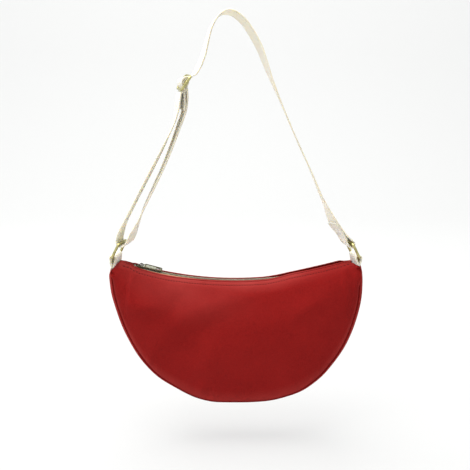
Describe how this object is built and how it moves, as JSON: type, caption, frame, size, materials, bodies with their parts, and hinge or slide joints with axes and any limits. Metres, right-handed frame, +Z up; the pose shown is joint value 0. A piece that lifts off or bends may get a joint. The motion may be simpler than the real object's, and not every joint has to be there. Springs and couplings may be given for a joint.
{
  "type": "half moon shoulder bag",
  "caption": "Half moon shoulder bag of canvas with a gusset, a zipped hollowed top, webbing strap on metal rings and a sliding strap adjuster, hanging from the strap.",
  "frame": {"origin": "the inner face of the strap at its highest point, where the bag hangs", "axes": "+X to the right seen from the front, +Y from the front to the back, +Z up; the front panel faces -Y"},
  "size_m": [0.3464, 0.0682, 0.5191],
  "materials": {
    "canvas": "red cotton canvas, matt, with a soft sheen on its folds",
    "lining": "plain light tan cotton, matt",
    "webbing": "cream cotton webbing with a herringbone weave",
    "zip_tape": "beige woven zip tape",
    "brass": "brushed brass wire",
    "aged_brass": "antique brass"
  },
  "bodies": {
    "strap": {"strap_webbing": "webbing", "strap_return": "webbing"},
    "left_ring": {"left_ring": "brass"},
    "right_ring": {"right_ring": "brass"},
    "bag": {"front_panel": "canvas", "back_panel": "canvas", "gusset": "canvas", "lining_front": "lining", "lining_back": "lining", "lining_gusset": "lining", "left_tab": "webbing", "right_tab": "webbing", "zip_stop_end": "aged_brass"},
    "front_mouth": {"front_hem": "canvas", "zip_tape_front": "zip_tape", "zip_teeth_front": "aged_brass", "zip_stop_front": "aged_brass"},
    "back_mouth": {"back_hem": "canvas", "zip_tape_back": "zip_tape", "zip_teeth_back": "aged_brass", "zip_stop_back": "aged_brass"},
    "zip_slider": {"zip_slider": "aged_brass"},
    "zip_pull": {"zip_pull": "aged_brass"},
    "adjuster": {"strap_adjuster": "brass", "strap_end_fold": "webbing"}
  },
  "joints": [
    {"name": "left_ring_swing", "type": "hinge", "parent": "strap", "child": "left_ring", "pos_m": [-0.14662, 0, -0.28709], "axis": [0, 1, 0], "range_deg": [-15, 15]},
    {"name": "bag_swing", "type": "hinge", "parent": "left_ring", "child": "bag", "pos_m": [-0.15712, 0, -0.3071], "axis": [0, 1, 0], "range_deg": [-14.5, 14.5]},
    {"name": "right_ring_swing", "type": "hinge", "parent": "strap", "child": "right_ring", "pos_m": [0.16262, 0, -0.28709], "axis": [0, 1, 0], "range_deg": [-15.5, 15.5]},
    {"name": "zip_travel", "type": "hinge", "parent": "bag", "child": "zip_slider", "pos_m": [0.008, 0, 0.15108], "axis": [0, -1, 0], "range_deg": [0, 29]},
    {"name": "front_mouth_open", "type": "hinge", "parent": "bag", "child": "front_mouth", "pos_m": [0.008, 0, -0.316], "axis": [-1, 0, 0], "range_deg": [0, 46]},
    {"name": "back_mouth_open", "type": "hinge", "parent": "bag", "child": "back_mouth", "pos_m": [0.008, 0, -0.316], "axis": [1, 0, 0], "range_deg": [0, 46]},
    {"name": "pull_flip", "type": "hinge", "parent": "zip_slider", "child": "zip_pull", "pos_m": [-0.12237, 0, -0.32007], "axis": [0, -1, 0], "range_deg": [0, 150]},
    {"name": "adjuster_slide", "type": "slide", "parent": "strap", "child": "adjuster", "axis": [-0.4299, 0, -0.9029], "range_m": [0, 0.1], "deforming": ["strap_return"]}
  ],
  "couplings": [
    {"joint": "bag_swing", "follows": "left_ring_swing", "ratio": -0.93636},
    {"joint": "right_ring_swing", "follows": "left_ring_swing", "ratio": 1},
    {"joint": "front_mouth_open", "follows": "zip_travel", "ratio": 1.55},
    {"joint": "back_mouth_open", "follows": "zip_travel", "ratio": 1.55}
  ]
}
